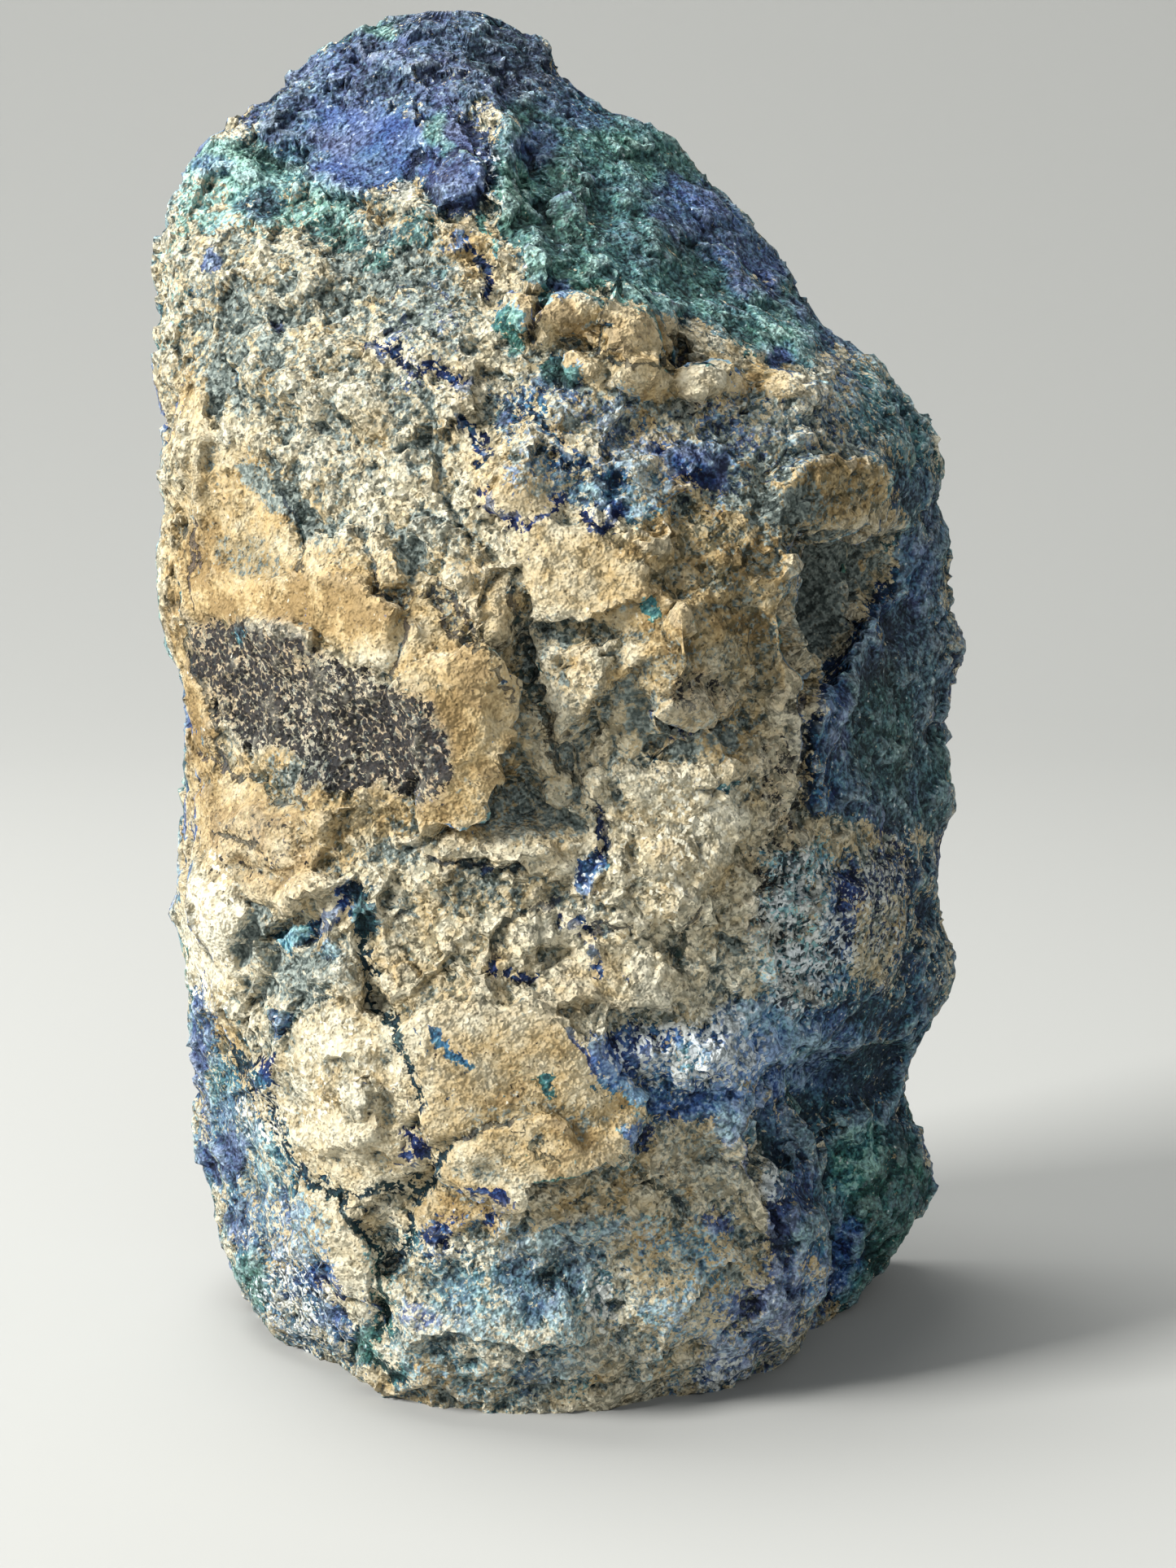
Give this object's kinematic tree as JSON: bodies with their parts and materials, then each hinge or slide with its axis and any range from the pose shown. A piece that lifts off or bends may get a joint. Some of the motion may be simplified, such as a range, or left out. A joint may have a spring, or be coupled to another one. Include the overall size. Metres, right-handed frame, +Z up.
{
  "type": "mineral slab",
  "caption": "Thick free-standing azurite-malachite slab with a rough ochre front crusted blue and green, a flat sawn foot and a flat polished back.",
  "frame": {"origin": "bottom centre of the stone's bounding box, on the plane it stands on", "axes": "+Z up from the sawn foot to the peak, +Y out of the polished back, so the rough front faces -Y"},
  "size_m": [0.1136, 0.0698, 0.1862],
  "materials": {
    "azurite_malachite_stone": "rough natural stone, with a polished back"
  },
  "bodies": {
    "root": {"azurite_malachite_slab": "azurite_malachite_stone"}
  },
  "joints": []
}
